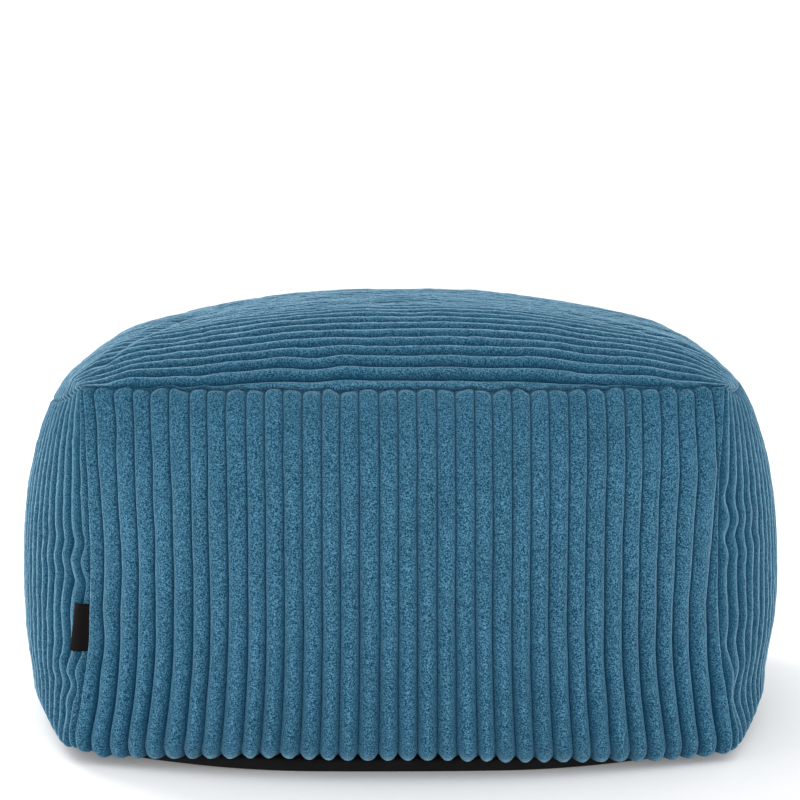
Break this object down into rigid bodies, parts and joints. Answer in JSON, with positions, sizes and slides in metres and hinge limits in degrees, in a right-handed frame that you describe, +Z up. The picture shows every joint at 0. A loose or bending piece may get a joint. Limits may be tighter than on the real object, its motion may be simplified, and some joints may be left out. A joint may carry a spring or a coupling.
{
  "type": "footstool",
  "caption": "Soft square footstool: a filled corduroy block with bulging upright-ribbed sides, a low domed top with ribs running across, sewn seams and a dark flat base cloth.",
  "frame": {"origin": "on the floor, under the middle of the footstool", "axes": "+Z up, -Y towards the front side panel, -X towards the side panel that carries the tag"},
  "size_m": [0.6138, 0.6138, 0.331],
  "materials": {
    "corduroy": "plush teal-blue cord pile, dark in the grooves",
    "base_cloth": "matte black lining",
    "ribbon": "matte near-black woven ribbon"
  },
  "bodies": {
    "root": {"cover": "corduroy", "base_panel": "base_cloth", "side_tag": "ribbon"}
  },
  "joints": []
}
